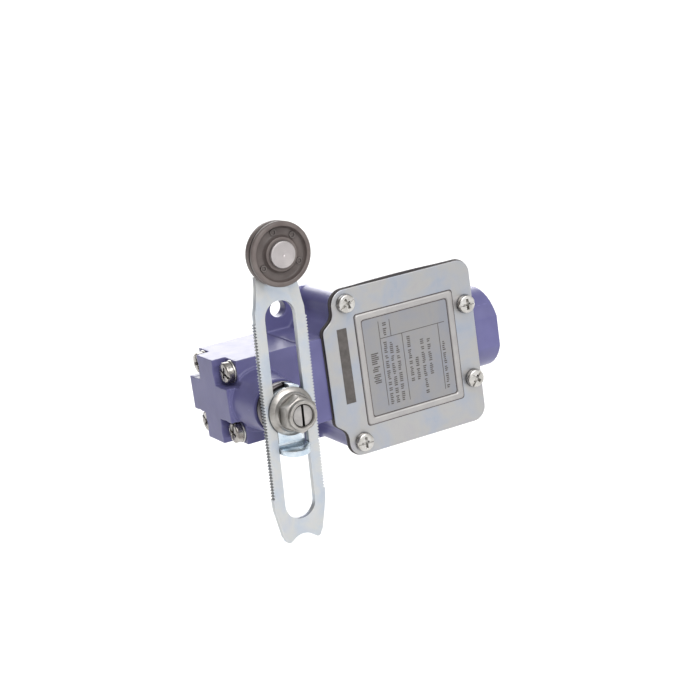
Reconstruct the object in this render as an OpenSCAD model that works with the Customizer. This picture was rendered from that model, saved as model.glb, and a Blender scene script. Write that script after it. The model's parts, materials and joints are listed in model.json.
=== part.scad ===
// Limit switch with a die-cast body, a square rotary head and a slotted roller lever of adjustable length.
// Millimetres. +X runs from the head to the cable entry, +Z from the shaft to the roller, and -Y is the
// front, where the cover and the lever are. The back mounting face is the plane y = 0, and the origin
// lies midway between the two mounting holes.

/* [Body casting] */
// Width of the cover flange, across the body
body_w = 52; // [50:0.5:56]
// Depth from the mounting face to the outer face of the cover
body_depth = 27; // [26.5:0.1:29]
// Distance from the mounting holes to the right end of the cover
body_end = 55.75; // [55:0.25:58]
// Distance from the mounting face to the axis of the head and the cable entry
axis_depth = 13; // [12.9:0.05:13.5]
// Half width of the box behind the cover flange
box_half = 19; // [18.7:0.1:20]
// Distance between the two mounting holes
hole_pitch = 39; // [38:0.5:40]
// Diameter of the mounting holes
hole_d = 5.3; // [5:0.1:5.6]
// Thickness of the mounting lugs
lug_t = 4.2; // [3.5:0.1:5]

/* [Cable entry] */
// Outer diameter of the cable entry boss
entry_d = 26; // [25:0.5:26.5]
// Bore diameter of the cable entry, at the crest of its thread
entry_bore_d = 18.4; // [16:0.2:20]
// Distance from the mounting holes to the end of the boss
entry_end = 65.3; // [64:0.1:68]

/* [Cover] */
// Thickness of the sheet steel cover
cover_t = 1; // [0.8:0.1:1.2]
// Thickness of the rubber gasket under the cover
gasket_t = 0.8; // [0.6:0.1:1]
// Side of the square frame pressed into the cover, outside
frame_side = 34.7; // [33:0.1:35]
// Width of the ridge that makes the pressed frame
frame_ridge = 2.1; // [1.5:0.1:2.5]
// Diameter of the heads of the cover screws
cover_head_d = 5.6; // [5:0.1:5.8]

/* [Head] */
// Side of the square head, which can be turned in steps of 90 degrees
head_side = 25.7; // [25.4:0.1:26]
// Distance from the mounting holes to the joint between head and body
joint_x = 5; // [4.8:0.1:5.2]
// Depth of the four screw pockets in the end of the head
pocket_depth = 4.3; // [3.5:0.1:4.5]
// Distance from the end of the head to the shaft axis
shaft_inset = 10.1; // [9.9:0.1:10.3]
// Diameter of the shaft boss where it meets the head
boss_base_d = 18.1; // [17.5:0.1:18.5]
// Diameter of the shaft boss at its rim
boss_rim_d = 16; // [15.6:0.1:16.4]
// How far the shaft boss stands out of the head
boss_len = 12.3; // [12:0.1:12.5]

/* [Lever] */
// Width of the lever over its toothed edges
lever_w = 16.8; // [16.2:0.1:17.4]
// Thickness of the lever
lever_t = 2; // [1.6:0.1:2.2]
// Width of the long slot
slot_w = 9.74; // [9.6:0.02:9.9]
// Length of the long slot
slot_len = 64.5; // [60:0.5:66]
// Distance from the shaft to the roller pin, as set
roller_reach = 46.1; // [45:0.1:48]
// Lean of the lever from square, as clamped on its serrations
lever_lean = 2.4; // [-5:0.1:5]
// Gap between the rim of the boss and the back of the lever
lever_gap = 5.6; // [5.4:0.1:6]

/* [Roller] */
// Diameter of the roller
roller_d = 18.6; // [18:0.1:19.4]
// Width of the roller
roller_w = 5; // [4.4:0.1:5.4]
// Diameter of the pin that the roller turns on
pin_d = 4.9; // [4:0.1:5]

/* [Hidden] */
$fn = 64;
eps = 0.01;

// Main planes of the body
axis_y = -axis_depth;
cover_y = -body_depth;
gasket_y = cover_y + cover_t;
flange_y = gasket_y + gasket_t;
flange_t = 2;
flange_inset = 0.6;
half_w = body_w / 2;
head_half = head_side / 2;
front_y = axis_y - head_half;
back_y = axis_y + head_half;
thread_gap = 0.05;

// Outline of the cover
cover_neck_x = 2.5;
lobe_x = 6.5;
lobe_r = 4.6;
end_r = 4.5;
fillet_r = 4;
fillet_z = half_w - 6.2;
fillet_angle = 52;
neck_r = 2.2;
neck_z = half_w - 12.35;

// Cavity for the contact block
cavity = [9, 49.8];
cavity_half = 16.5;
floor_t = 2.5;

// Cover screws, from the left pair to the right pair
left_screws = [11.1, 21.8];
right_screws = [52.7, 12];
cover_screw_r = 1.5;
cover_head_h = 1.9;
pillar = [10.6, 21.2];
pillar_r = 3.3;

// Head, its screws and the shaft
head_gasket_t = 0.4;
head_x1 = -joint_x - head_gasket_t;
head_x0 = -joint_x - head_side;
pocket_x = head_x0 + pocket_depth;
pocket_half = [5.2, 5.4];
pocket_r = 4.2;
head_screw_at = 9.2;
head_screw_r = 1.7;
head_bolt_d = 6.3;
washer_t = 0.6;
shaft_x = head_x0 + shaft_inset;
cam_room_r = 9.2;
rim_y = front_y - boss_len;
bush_r = 6.2;
journal_r = 4.5;
running = 0.05;
seal_room_r = 6.9;
seal_room_t = 2;
rear_r = 3.5;

// Lever clamp, from the boss to the end of the shaft
lever_back = rim_y - lever_gap;
lever_front = lever_back - lever_t;
clamp_t = 1.2;
stud_r = 3.05;
nut_flange_r = 7.06;
nut_flange_t = 1.15;
nut_cone_t = 1.7;
nut_flats = 9.6;
nut_hex_t = 4.1;
nut_collar_r = 4.4;
nut_collar_t = 1.2;
nut_front = lever_front - nut_flange_t - nut_cone_t - nut_hex_t - nut_collar_t;
shaft_end = nut_front + 0.6;
lip = [-10.2, -11.8];
hub_r = 7.7;
roller_back = lever_front - 0.25;
roller_front = roller_back - roller_w;
web_r = [4.9, 7.9];
web_depth = 1.4;

// Contact block
block = [[13, 43], [-21, -5], 15];
block_split = axis_y;
chamber = [[16, 39], [-18, -8], 9];
nc_terminal = 21.5;
no_terminal = 35.5;
terminal_z = 12.2;
terminal_y = -17;
strip_t = 0.8;
tip_r = 1.1;
tip_t = 0.5;
nc_tab = 27;
no_tab = 33;
bridge_x = 28.9;
bridge_t = 0.6;
guide_r = 1.5;
rod_r = 3;
rod_tip = 8.4;
plunger_tip = 8.5;
earth_at = [46.4, -12];
block_screw_places = [[28.5, 12], [28.5, -12]];

// Points of an arc about c, from angle a to angle b
function arc(c, r, a, b, n = 8) = [for (i = [0 : n]) c + r * [cos(a + (b - a) * i / n), sin(a + (b - a) * i / n)]];

// The same points mirrored in the X axis and in reverse order
function mirrored(p) = [for (i = [len(p) - 1 : -1 : 0]) [p[i][0], -p[i][1]]];

// Draws an (x, z) profile as a slab from y = back towards the front
module slab(back, t) {
    translate([0, back, 0])
        rotate([90, 0, 0])
            linear_extrude(t)
                children();
}

// A cylinder along Y between two depths
module y_cyl(r, front, back, x = 0, z = 0, r2 = undef) {
    translate([x, back, z])
        rotate([90, 0, 0])
            cylinder(r1 = r, r2 = is_undef(r2) ? r : r2, h = back - front);
}

// A cylinder along X at depth y
module x_cyl(r, x0, x1, y = axis_y, z = 0) {
    translate([x0, y, z])
        rotate([0, 90, 0])
            cylinder(r = r, h = x1 - x0);
}

// A box given by its lowest and highest corners
module span(a, b) {
    translate(a)
        cube(b - a);
}

// Turns the lever and its clamp to the angle at which they are clamped on the shaft
module leaning() {
    translate([shaft_x, 0, 0])
        rotate([0, lever_lean, 0])
            children();
}

// A coil spring along X between x0 and x1, swept as rings of 8 points
module coil_spring(r, wire_r, x0, x1, turns) {
    sides = 8;
    steps = 14;
    rings = turns * steps;
    run = x1 - x0 - 2 * wire_r;
    points = [
        for (i = [0 : rings], j = [0 : sides - 1])
            let (a = 360 * i / steps, b = 360 * j / sides, q = r + wire_r * cos(b))
                [x0 + wire_r + run * i / rings + wire_r * sin(b), axis_y + q * cos(a), q * sin(a)]
    ];
    walls = [
        for (i = [0 : rings - 1], j = [0 : sides - 1])
            let (k = (j + 1) % sides)
                [i * sides + j, i * sides + k, (i + 1) * sides + k, (i + 1) * sides + j]
    ];
    start = [[for (j = [sides - 1 : -1 : 0]) j]];
    end = [[for (j = [0 : sides - 1]) rings * sides + j]];
    polyhedron(points, concat(walls, start, end), convexity = 6);
}

// Outline of the cover, drawn smaller by g
module cover_outline(g = 0) {
    turn = 90 + fillet_angle - 14;
    top = concat(
        arc([body_end - end_r, half_w - end_r], end_r - g, 0, 90),
        arc([lobe_x + lobe_r, half_w - lobe_r], lobe_r - g, 90, 180),
        arc([lobe_x - fillet_r, fillet_z], fillet_r + g, 0, -fillet_angle),
        arc([cover_neck_x + neck_r, neck_z], neck_r - g, turn, 180)
    );
    polygon(concat(top, mirrored(top)));
}

// Places a child at each of the four cover screws
module at_cover_screws() {
    for (side = [-1, 1]) {
        translate([left_screws[0], 0, side * left_screws[1]])
            children();
        translate([right_screws[0], 0, side * right_screws[1]])
            children();
    }
}

// Places a child at each of the four head screws, on the axes of the holes
module at_head_screws() {
    for (y = [-1, 1], z = [-1, 1])
        translate([0, axis_y + y * head_screw_at, z * head_screw_at])
            children();
}

// A straight slot crossed by a short recess, cut into a head whose face lies at y = 0, facing -Y
module combi_recess(d, depth, angle) {
    rotate([0, angle, 0]) {
        span([-d, -eps, -0.4], [d, depth * 0.55, 0.4]);
        span([-d * 0.26, -eps, -0.45], [d * 0.26, depth, 0.45]);
        span([-0.45, -eps, -d * 0.26], [0.45, depth, d * 0.26]);
    }
}

module body_casing() {
    color([0.38, 0.38, 0.55])
        difference() {
            union() {
                difference() {
                    body_outside();
                    span([cavity[0], flange_y - 1, -cavity_half], [cavity[1], -floor_t, cavity_half]);
                }
                for (p = block_screw_places)
                    y_cyl(2.6, block[1][1], -floor_t + eps, p[0], p[1]);
            }
            x_cyl(entry_bore_d / 2, cavity[1] - 1, entry_end + 1);
            x_cyl(6.6, -joint_x - 1, 3);
            x_cyl(3.6, 2, cavity[0] + 1);
            for (side = [-1, 1])
                y_cyl(hole_d / 2, -lug_t - 1, 1, 0, side * hole_pitch / 2);
            at_cover_screws()
                y_cyl(cover_screw_r + thread_gap, flange_y - 1, flange_y + 7);
            at_head_screws()
                translate([0, -axis_y, 0])
                    x_cyl(head_screw_r + thread_gap, -joint_x - 1, 6.5);
            for (p = block_screw_places)
                y_cyl(cover_screw_r + thread_gap, block[1][1] - 1, -0.8, p[0], p[1]);
            y_cyl(cover_screw_r + thread_gap, -floor_t - 3, -0.8, earth_at[0], earth_at[1]);
        }
}

// The casting before its cavity and holes are cut
module body_outside() {
    slab(flange_y + flange_t, flange_t)
        cover_outline(flange_inset);
    span([cavity[0] - 2, flange_y, -box_half], [body_end - flange_inset - 0.1, 0, box_half]);
    span([-joint_x, front_y, -head_half], [cover_neck_x - 0.2, 0, head_half]);
    span([0, flange_y, -head_half], [cavity[0], 0, head_half]);
    for (side = [-1, 1]) {
        y_cyl(pillar_r, flange_y, 0, pillar[0], side * pillar[1]);
        slab(0, -flange_y)
            mirror([0, side < 0 ? 1 : 0])
                shoulder_profile();
        slab(0, lug_t)
            mirror([0, side < 0 ? 1 : 0])
                lug_profile();
    }
    intersection() {
        x_cyl(entry_d / 2, body_end - 3, entry_end);
        span([body_end - 4, axis_y - 12.1, -entry_d], [entry_end + 1, axis_y + 12.1, entry_d]);
    }
}

// Concave wall that joins the neck to the pillar of a cover screw
module shoulder_profile() {
    wall = concat(
        [[cavity[0], 12], [cavity[0] + 3, 17], [pillar[0], pillar[1]]],
        [[pillar[0] - pillar_r, pillar[1]]],
        arc([lobe_x - fillet_r, fillet_z], fillet_r + flange_inset + 0.1, 0, -fillet_angle),
        [[cover_neck_x, head_half - 0.4], [cover_neck_x, 12]]
    );
    polygon(wall);
}

// Mounting lug beside the neck, with a rounded outer corner at each end
module lug_profile() {
    r = 1.5;
    top = half_w - 1.4;
    right = pillar[0] + 2.2;
    polygon(concat(
        [[-joint_x, 12], [right, 12]],
        arc([right - r, top - r], r, 0, 90),
        arc([-joint_x + r, top - r], r, 90, 180)
    ));
}

module cover_gasket() {
    color([0.2, 0.2, 0.21])
        difference() {
            slab(flange_y, gasket_t)
                difference() {
                    cover_outline(0.15);
                    translate([cavity[0] + 1, -cavity_half + 0.5])
                        square([cavity[1] - cavity[0] - 1.5, 2 * cavity_half - 1]);
                }
            at_cover_screws()
                y_cyl(cover_screw_r + 0.15, cover_y, flange_y + 1);
        }
}

module cover_plate() {
    color([0.72, 0.73, 0.75])
        difference() {
            union() {
                slab(gasket_y, cover_t)
                    cover_outline();
                translate([31, 0, 0])
                    slab(cover_y + eps, 0.5)
                        difference() {
                            frame_square(frame_side / 2, 1);
                            frame_square(frame_side / 2 - frame_ridge, 0.8);
                        }
            }
            at_cover_screws()
                y_cyl(cover_screw_r + 0.15, cover_y - 1, flange_y);
        }
}

// Square with round corners, about its middle
module frame_square(h, r) {
    polygon(concat(
        arc([h - r, h - r], r, 0, 90, 5), arc([r - h, h - r], r, 90, 180, 5),
        arc([r - h, r - h], r, 180, 270, 5), arc([h - r, r - h], r, 270, 360, 5)
    ));
}

module cover_screws() {
    angles = [38, 14, 80, 10];
    places = [
        [left_screws[0], left_screws[1]], [right_screws[0], right_screws[1]],
        [left_screws[0], -left_screws[1]], [right_screws[0], -right_screws[1]]
    ];
    color([0.84, 0.83, 0.78])
        for (i = [0 : 3])
            translate([places[i][0], 0, places[i][1]])
                difference() {
                    union() {
                        y_cyl(cover_head_d / 2, cover_y - cover_head_h, cover_y);
                        y_cyl(cover_screw_r, cover_y - eps, flange_y + 6);
                    }
                    translate([0, cover_y - cover_head_h, 0])
                        combi_recess(cover_head_d, 1.3, -angles[i]);
                }
}

// Cross section of the head, with the four screw pockets where cut is true
module head_profile(cut) {
    round_r = 0.8;
    difference() {
        frame_square(head_half, round_r);
        if (cut)
            for (a = [0, 1], b = [0, 1])
                mirror([a, 0])
                    mirror([0, b]) {
                        polygon(concat(
                            [[head_half + 1, pocket_half[1]], [head_half + 1, head_half + 1]],
                            [[pocket_half[0], head_half + 1]],
                            arc([pocket_half[0] + 1.5, pocket_half[1] + 1.5], 1.5, 180, 270, 5)
                        ));
                        translate([head_screw_at, head_screw_at])
                            circle(pocket_r);
                    }
    }
}

module head_casing() {
    color([0.38, 0.38, 0.55])
        difference() {
            union() {
                translate([pocket_x, axis_y, 0])
                    rotate([0, 90, 0])
                        linear_extrude(head_x1 - pocket_x)
                            head_profile(false);
                translate([head_x0, axis_y, 0])
                    rotate([0, 90, 0])
                        linear_extrude(pocket_depth + eps)
                            head_profile(true);
                y_cyl(boss_base_d / 2, rim_y, front_y + eps, shaft_x, 0, boss_rim_d / 2);
            }
            x_cyl(cam_room_r, pocket_x + 1.8, head_x1 + 1);
            y_cyl(bush_r, rim_y - 1, axis_y + 4.4, shaft_x);
            y_cyl(seal_room_r, rim_y - 1, rim_y + seal_room_t, shaft_x);
            y_cyl(rear_r + 1.5, axis_y, back_y - 0.8, shaft_x);
            at_head_screws()
                translate([0, -axis_y, 0])
                    x_cyl(head_screw_r + 0.15, head_x0 - 1, head_x1 + 1);
        }
}

module head_gasket() {
    color([0.2, 0.2, 0.21])
        difference() {
            translate([head_x1, axis_y, 0])
                rotate([0, 90, 0])
                    linear_extrude(head_gasket_t)
                        frame_square(head_half - 0.3, 0.8);
            x_cyl(7, head_x1 - 1, -joint_x + 1);
            at_head_screws()
                translate([0, -axis_y, 0])
                    x_cyl(head_screw_r + 0.15, head_x1 - 1, -joint_x + 1);
        }
}

module head_screws() {
    color([0.75, 0.74, 0.7])
        at_head_screws()
            translate([pocket_x - washer_t, 0, 0])
                rotate([0, 0, 90])
                    difference() {
                        union() {
                            y_cyl(head_bolt_d / 2, 0, 2.2);
                            y_cyl(head_screw_r, -30.5, eps);
                        }
                        translate([0, 2.2, 0])
                            rotate([180, 0, 0])
                                combi_recess(head_bolt_d, 1.4, 25);
                    }
}

module head_screw_washers() {
    color([0.8, 0.8, 0.8])
        at_head_screws()
            translate([0, -axis_y, 0])
                difference() {
                    x_cyl(3.45, pocket_x - washer_t, pocket_x);
                    x_cyl(head_screw_r + 0.1, pocket_x - 1, pocket_x + 1);
                }
}

module shaft_bush() {
    color([0.7, 0.55, 0.3])
        difference() {
            y_cyl(bush_r, rim_y + seal_room_t, axis_y - cam_room_r + 1.2, shaft_x);
            y_cyl(journal_r + running, rim_y, axis_y, shaft_x);
        }
}

module shaft_seal() {
    color([0.15, 0.15, 0.15])
        difference() {
            y_cyl(seal_room_r, rim_y + 0.5, rim_y + seal_room_t, shaft_x);
            y_cyl(journal_r + running, rim_y - 1, rim_y + 3, shaft_x);
        }
}

module rear_bush() {
    color([0.7, 0.55, 0.3])
        difference() {
            y_cyl(rear_r + 1.5, axis_y + cam_room_r - 1.2, back_y - 0.8, shaft_x);
            y_cyl(rear_r + running, axis_y, back_y, shaft_x);
        }
}

// Pressed cup that carries the return spring and guides the push rod
module spring_cup() {
    color([0.7, 0.7, 0.7])
        difference() {
            union() {
                x_cyl(cam_room_r, head_x1 - 1.6, head_x1);
                x_cyl(6.3, head_x1 - 1.6, 2.6);
            }
            x_cyl(5.6, head_x1 - 2, 1.8);
            x_cyl(rod_r + running, 0, 4);
        }
}

module return_spring() {
    color([0.6, 0.6, 0.62])
        coil_spring(4.6, 0.6, rod_disc[1] + 0.1, 1.7, 6);
}

rod_disc = [shaft_x + 5.9, shaft_x + 7.1];
module push_rod() {
    color([0.85, 0.84, 0.8])
        union() {
            x_cyl(7, rod_disc[0], rod_disc[1]);
            x_cyl(rod_r, rod_disc[0], rod_tip);
        }
}

module drive_shaft() {
    color([0.6, 0.6, 0.62])
        leaning()
            difference() {
                union() {
                    y_cyl(journal_r, rim_y - 0.2, axis_y + 5);
                    y_cyl(rear_r, axis_y, back_y - 1);
                    y_cyl(stud_r, shaft_end, rim_y);
                }
                y_cyl(1.05, axis_y - 0.9, axis_y + 0.9);
                translate([0, axis_y, 0])
                    cylinder(r = 1, h = 40, center = true);
                span([-0.4, shaft_end - 1, -10], [0.4, shaft_end + 1.3, 10]);
                translate([0, axis_y + 6.4, 0])
                    clip_ring(rear_r + 1, rear_r - 0.5, 0.9);
            }
}

// Flat ring about the Y axis
module clip_ring(outer, inner, t) {
    difference() {
        y_cyl(outer, -t / 2, t / 2);
        y_cyl(inner, -t, t);
    }
}

// Disc with a flat that faces the push rod at rest
module cam() {
    color([0.62, 0.62, 0.64])
        leaning()
            difference() {
                y_cyl(5.6, axis_y - 3.5, axis_y + 3.5);
                y_cyl(journal_r + 0.02, axis_y - 5, axis_y + 5);
                translate([0, axis_y, 0])
                    cylinder(r = 1, h = 40, center = true);
                rotate([0, -lever_lean, 0])
                    span([5, axis_y - 5, -10], [10, axis_y + 5, 10]);
            }
}

module cam_pin() {
    color([0.7, 0.7, 0.7])
        leaning()
            translate([0, axis_y, 0])
                cylinder(r = 1, h = 11, center = true);
}

module shaft_clip() {
    color([0.3, 0.3, 0.32])
        leaning()
            translate([0, axis_y + 6.4, 0])
                difference() {
                    clip_ring(rear_r + 1, rear_r - 0.48, 0.8);
                    span([-1.2, -2, 0], [1.2, 2, 10]);
                }
}

// Hub on the shaft, with a notched rim behind the clamp plate
module lever_hub() {
    notches = 6;
    hub_back = rim_y - 0.4;
    hub_front = lever_back + clamp_t;
    color([0.6, 0.58, 0.55])
        leaning()
            difference() {
                union() {
                    y_cyl(6, hub_front, hub_back);
                    y_cyl(hub_r, hub_front + 0.5, hub_front + 2.6);
                    y_cyl(hub_r, hub_front, hub_front + 0.5, 0, 0, hub_r - 0.5);
                }
                y_cyl(stud_r + 0.02, hub_front - 1, hub_back + 1);
                for (i = [0 : notches - 1])
                    rotate([0, 6 + i * 360 / notches, 0])
                        span([-0.9, hub_front - 1, 6.2], [0.9, hub_front + 1.4, 9]);
            }
}

// Steel plate behind the lever, with a tongue and a tooth in the slot and a rounded lip below them
module clamp_plate() {
    side = 4.7;
    tongue_front = lever_front + 0.15;
    color([0.8, 0.83, 0.85])
        leaning()
            difference() {
                union() {
                    y_cyl(6.4, lever_back, lever_back + clamp_t);
                    span([-side, lever_back, lip[1]], [side, lever_back + clamp_t, 0]);
                    span([-side, tongue_front, -8.9], [3.5, lever_back + clamp_t, 4.4]);
                    intersection() {
                        span([0.4, tongue_front, 0], [3.5, lever_back + clamp_t, 9]);
                        y_cyl(hub_r, tongue_front - 1, lever_back + 2);
                    }
                    translate([0, lever_back - 1.15, lip[1]])
                        linear_extrude(lip[0] - lip[1])
                            intersection() {
                                circle(5);
                                translate([-side, -6])
                                    square([2 * side, 6 + 1.15 + clamp_t]);
                            }
                }
                y_cyl(stud_r + 0.02, lever_front - 1, lever_back + 3);
            }
}

// Lock nut: round flange, cone, chamfered hexagon and a round collar
module flange_nut() {
    cone_front = lever_front - nut_flange_t - nut_cone_t;
    hex_front = cone_front - nut_hex_t;
    corner_r = nut_flats / sqrt(3);
    color([0.65, 0.62, 0.58])
        leaning()
            difference() {
                union() {
                    y_cyl(nut_flange_r, lever_front - nut_flange_t, lever_front);
                    y_cyl(nut_flange_r, cone_front, lever_front - nut_flange_t, 0, 0, corner_r + 0.2);
                    intersection() {
                        rotate([0, 30, 0])
                            y_cyl_sided(corner_r, hex_front, cone_front + 0.5, 6);
                        y_cyl(corner_r + 1.5, hex_front, cone_front + 0.6, 0, 0, nut_flats / 2 - 0.1);
                    }
                    y_cyl(nut_collar_r, nut_front, hex_front + eps);
                }
                y_cyl(stud_r + 0.02, nut_front - 1, lever_front + 1);
            }
}

// A prism with n sides along Y
module y_cyl_sided(r, front, back, n) {
    translate([0, back, 0])
        rotate([90, 0, 0])
            cylinder(r = r, h = back - front, $fn = n);
}

// Outline of the lever from the shaft, with u along the lever and w across it
module lever_outline() {
    h = lever_w / 2;
    tooth = 0.9;
    top = roller_reach - 6.1;
    toothed = [-25, 26.4];
    teeth = floor((toothed[1] - toothed[0]) / tooth);
    low = -slot_len / 2;
    edge = concat(
        [[6.3, low - 4.6], [6.95, low - 1.7], [7.5, low + 0.8], [h - 0.25, low + 3.6]],
        [for (i = [0 : teeth], s = [0, 1]) [h - 0.32 * s, toothed[0] + (i + 0.5 * s) * tooth]],
        [[h - 0.6, 29.5], [h - 1.15, 31.9], [6.55, 36.5], [6.4, top], [5.2, top]]
    );
    fork = arc([0, low - 9.4], 4.75, 128, 52, 8);
    prong = arc([4.65, low - 5.5], 1.1, -115, 0, 6);
    right = concat(prong, edge, arc([0, roller_reach], 5.2, 0, 90, 8));
    left = [for (i = [len(right) - 1 : -1 : 0]) [-right[i][0], right[i][1]]];
    polygon(concat(fork, right, left));
}

module lever() {
    slot_end = slot_len / 2 - slot_w / 2;
    color([0.8, 0.82, 0.82])
        leaning()
            difference() {
                slab(lever_back, lever_t)
                    lever_outline();
                y_cyl(slot_w / 2, lever_front - 1, lever_back + 1, 0, slot_end);
                y_cyl(slot_w / 2, lever_front - 1, lever_back + 1, 0, -slot_end);
                span([-slot_w / 2, lever_front - 1, -slot_end], [slot_w / 2, lever_back + 1, slot_end]);
                y_cyl(pin_d / 2 + 0.02, lever_front - 1, lever_back + 1, 0, roller_reach);
            }
}

module roller_pin() {
    color([0.72, 0.72, 0.72])
        leaning()
            translate([0, 0, roller_reach]) {
                y_cyl(pin_d / 2, roller_front - 0.5, lever_back + 0.5);
                y_cyl(3.4, lever_back, lever_back + 0.9);
                y_cyl(3.9, roller_front - 1, roller_front - 0.1);
            }
}

// Roller with a raised hub and rim, recessed webs and a groove between its front rim and its tread
module roller() {
    r = roller_d / 2;
    tread_r = r - 0.1;
    groove = [roller_front + 1.5, roller_front + 2.5];
    color([0.36, 0.32, 0.31])
        leaning()
            translate([0, 0, roller_reach])
                difference() {
                    union() {
                        y_cyl(r - 0.6, roller_front, roller_back);
                        y_cyl(r, roller_front + 0.5, groove[0]);
                        y_cyl(tread_r, groove[1], roller_back - 0.4);
                    }
                    translate([0, (groove[0] + groove[1]) / 2, 0])
                        clip_ring(r + 1, r - 1.1, groove[1] - groove[0]);
                    translate([0, roller_front, 0])
                        clip_ring(web_r[1], web_r[0], 2 * web_depth);
                    translate([0, roller_back, 0])
                        clip_ring(web_r[1], web_r[0], 1.6);
                    y_cyl(pin_d / 2 + running, roller_front - 1, roller_back + 1);
                }
}

module block_base() {
    color([0.2, 0.2, 0.22])
        difference() {
            span([block[0][0], block_split, -block[2]], [block[0][1], block[1][1], block[2]]);
            span([chamber[0][0], block_split - 1, -chamber[2]], [chamber[0][1], chamber[1][1], chamber[2]]);
            x_cyl(2.5, block[0][0] - 1, chamber[0][0] + 1);
            x_cyl(guide_r + 0.1, chamber[0][1] - 1, block[0][1] + 1);
            block_screw_holes();
        }
}

module block_screw_holes() {
    for (p = block_screw_places)
        y_cyl(cover_screw_r + 0.1, block[1][0] - 1, 0, p[0], p[1]);
}

module block_cover() {
    color([0.75, 0.72, 0.62])
        difference() {
            span([block[0][0], block[1][0], -block[2]], [block[0][1], block_split, block[2]]);
            span([chamber[0][0], chamber[1][0], -chamber[2]], [chamber[0][1], block_split + 1, chamber[2]]);
            x_cyl(2.5, block[0][0] - 1, chamber[0][0] + 1);
            x_cyl(guide_r + 0.1, chamber[0][1] - 1, block[0][1] + 1);
            for (x = [nc_terminal, no_terminal], side = [-1, 1])
                terminal_recess(x, side);
            block_screw_holes();
        }
}

// Recess for one terminal, with a slot through which its strip enters the chamber
module terminal_recess(x, side) {
    z = [9.6, block[2] + 1];
    span([x - 4, block[1][0] - 1, min(side * z[0], side * z[1])], [x + 4, terminal_y, max(side * z[0], side * z[1])]);
    span([x - 3.6, terminal_y - strip_t - 0.05, min(side * 8, side * 10)], [x + 3.6, terminal_y, max(side * 8, side * 10)]);
    y_cyl(cover_screw_r + thread_gap, terminal_y - 1, terminal_y + 3.5, x, side * terminal_z);
}

module block_screws() {
    color([0.75, 0.74, 0.7])
        for (p = block_screw_places)
            translate([p[0], 0, p[1]])
                difference() {
                    union() {
                        y_cyl(2.7, block[1][0] - 1.8, block[1][0]);
                        y_cyl(cover_screw_r, block[1][0] - eps, -1);
                    }
                    translate([0, block[1][0] - 1.8, 0])
                        combi_recess(5.4, 1.2, 0);
                }
}

// Plunger of the contact block: a round stem, a shoulder and a guide pin for the bridge and its springs
module contact_plunger() {
    color([0.9, 0.88, 0.82])
        union() {
            x_cyl(2.42, plunger_tip, 18);
            span([16.3, axis_y - 3, -3.5], [22, axis_y + 3, 3.5]);
            x_cyl(guide_r, 21, chamber[0][1] + 0.8);
        }
}

module moving_bridge() {
    color([0.8, 0.65, 0.35])
        difference() {
            span([bridge_x, axis_y - 2.7, -7.5], [bridge_x + bridge_t, axis_y + 2.7, 7.5]);
            x_cyl(guide_r + 0.1, bridge_x - 1, bridge_x + 2);
        }
}

module bridge_tips() {
    color([0.9, 0.9, 0.9])
        for (side = [-1, 1]) {
            x_cyl(tip_r, bridge_x - tip_t, bridge_x, axis_y, side * 6);
            x_cyl(tip_r, bridge_x + bridge_t, bridge_x + bridge_t + tip_t, axis_y, side * 6);
        }
}

module overtravel_spring() {
    color([0.6, 0.6, 0.62])
        coil_spring(2.3, 0.3, 22.1, bridge_x - 0.1, 5);
}

module bridge_spring() {
    color([0.6, 0.6, 0.62])
        coil_spring(2.3, 0.3, bridge_x + bridge_t + 0.1, chamber[0][1] - 0.1, 7);
}

// Brass strip from a terminal to the tab that carries a fixed contact
module fixed_contact(terminal, tab, side) {
    low = min(terminal - 3, tab);
    high = max(terminal + 3, tab + strip_t);
    color([0.8, 0.65, 0.35])
        mirror([0, 0, side < 0 ? 1 : 0])
            difference() {
                union() {
                    span([terminal - 3.4, terminal_y - strip_t, 5], [terminal + 3.4, terminal_y, 14.8]);
                    span([low, terminal_y - strip_t, 4.6], [high, terminal_y, 7.6]);
                    span([tab, terminal_y - strip_t, 4.6], [tab + strip_t, axis_y + 1.5, 7.6]);
                }
                y_cyl(cover_screw_r + thread_gap, terminal_y - 2, terminal_y + 1, terminal, terminal_z);
            }
}

module fixed_tips() {
    color([0.9, 0.9, 0.9])
        for (side = [-1, 1]) {
            x_cyl(tip_r, nc_tab + strip_t, nc_tab + strip_t + tip_t, axis_y, side * 6);
            x_cyl(tip_r, no_tab - tip_t, no_tab, axis_y, side * 6);
        }
}

// Square washer that grips the wire on a terminal
module clamp_washer(x, y, z) {
    difference() {
        span([x - 2.7, y - 0.8, z - 2.3], [x + 2.7, y, z + 2.3]);
        y_cyl(cover_screw_r + 0.1, y - 2, y + 1, x, z);
    }
}

// Cheese head screw with its head resting on the plane y
module clamp_screw(x, y, z, length) {
    translate([x, y, z])
        difference() {
            union() {
                y_cyl(2.4, -1.6, 0);
                y_cyl(cover_screw_r, -eps, length);
            }
            translate([0, -1.6, 0])
                combi_recess(4.8, 1.1, 0);
        }
}

module terminal_clamps() {
    color([0.8, 0.8, 0.78])
        for (x = [nc_terminal, no_terminal], side = [-1, 1])
            clamp_washer(x, terminal_y - strip_t, side * terminal_z);
}

module terminal_screws() {
    color([0.84, 0.83, 0.78])
        for (x = [nc_terminal, no_terminal], side = [-1, 1])
            clamp_screw(x, terminal_y - strip_t - 0.8, side * terminal_z, 4.8);
}

module earth_clamp() {
    color([0.8, 0.8, 0.78])
        clamp_washer(earth_at[0], -floor_t, earth_at[1]);
}

module earth_screw() {
    color([0.3, 0.55, 0.3])
        clamp_screw(earth_at[0], -floor_t - 0.8, earth_at[1], 2.3);
}

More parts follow.
